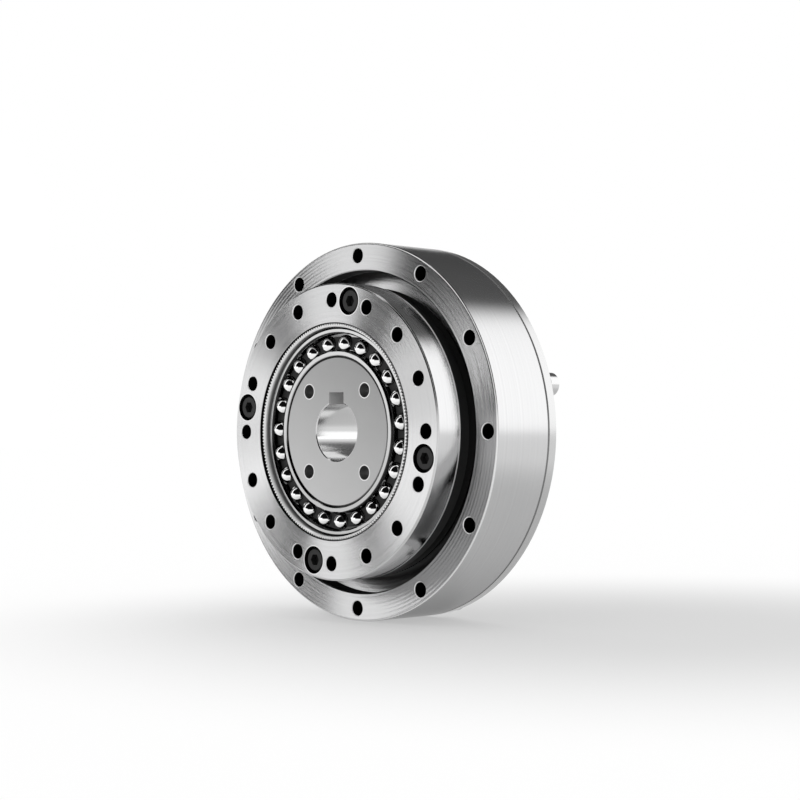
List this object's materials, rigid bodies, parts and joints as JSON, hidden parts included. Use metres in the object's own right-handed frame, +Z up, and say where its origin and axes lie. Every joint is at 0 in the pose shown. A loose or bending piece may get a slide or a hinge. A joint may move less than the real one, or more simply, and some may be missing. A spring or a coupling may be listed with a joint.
{
  "type": "strain wave gearbox",
  "caption": "Flat ring-shaped strain wave reduction gear: keyed wave generator inside a flexible toothed cup, rigid toothed output ring on a crossed roller bearing, bolted housing ring.",
  "frame": {"origin": "centre of the output bolt circle, on the shaft axis in the plane of the front output face", "axes": "Y along the shaft axis, the output face looking towards -Y; +Z up through the keyway at rest"},
  "size_m": [0.09, 0.0318, 0.09],
  "materials": {
    "turned_steel": "fine turned",
    "ground_steel": "ground",
    "spring_steel": "satin",
    "race_steel": "lapped",
    "ball_chrome": "mirror",
    "plug_steel": "matt",
    "black_screw": "black oxide",
    "bright_screw": "zinc plated",
    "cage_nylon": "moulded",
    "seal_rubber": "moulded"
  },
  "bodies": {
    "housing": {"outer_ring": "turned_steel", "flexspline": "spring_steel", "flange_o_ring": "seal_rubber", "flange_screw_1": "bright_screw", "flange_screw_2": "bright_screw", "flange_screw_3": "bright_screw", "flange_screw_4": "bright_screw"},
    "output": {"circular_spline": "turned_steel", "inner_ring_front": "ground_steel", "inner_ring_rear": "ground_steel", "lip_seal": "seal_rubber", "cap_screw_1": "black_screw", "cap_screw_2": "black_screw", "cap_screw_3": "black_screw", "cap_screw_4": "black_screw"},
    "input": {"wave_plug": "plug_steel", "flex_bearing_inner_race": "race_steel", "flex_bearing_outer_race": "race_steel"},
    "ball_set": {"ball_cage": "cage_nylon", "ball_01": "ball_chrome", "ball_02": "ball_chrome", "ball_03": "ball_chrome", "ball_04": "ball_chrome", "ball_05": "ball_chrome", "ball_06": "ball_chrome", "ball_07": "ball_chrome", "ball_08": "ball_chrome", "ball_09": "ball_chrome", "ball_10": "ball_chrome", "ball_11": "ball_chrome", "ball_12": "ball_chrome", "ball_13": "ball_chrome", "ball_14": "ball_chrome", "ball_15": "ball_chrome", "ball_16": "ball_chrome", "ball_17": "ball_chrome", "ball_18": "ball_chrome", "ball_19": "ball_chrome", "ball_20": "ball_chrome", "ball_21": "ball_chrome", "ball_22": "ball_chrome", "ball_23": "ball_chrome"},
    "roller_set": {"rollers_leaning_forward": "race_steel", "rollers_leaning_back": "race_steel"}
  },
  "joints": [
    {"name": "input_spin", "type": "hinge", "parent": "housing", "child": "input", "pos_m": [0, 0, 0], "axis": [0, -1, 0], "continuous": true, "deforming": ["flexspline"]},
    {"name": "output_spin", "type": "hinge", "parent": "housing", "child": "output", "pos_m": [0, 0, 0], "axis": [0, -1, 0], "continuous": true},
    {"name": "ball_set_spin", "type": "hinge", "parent": "housing", "child": "ball_set", "pos_m": [0, 0, 0], "axis": [0, -1, 0], "continuous": true},
    {"name": "roller_set_spin", "type": "hinge", "parent": "housing", "child": "roller_set", "pos_m": [0, 0, 0], "axis": [0, -1, 0], "continuous": true}
  ],
  "couplings": [
    {"joint": "output_spin", "follows": "input_spin", "ratio": 0.009901},
    {"joint": "ball_set_spin", "follows": "input_spin", "ratio": 0.44548},
    {"joint": "roller_set_spin", "follows": "input_spin", "ratio": 0.0047571}
  ]
}
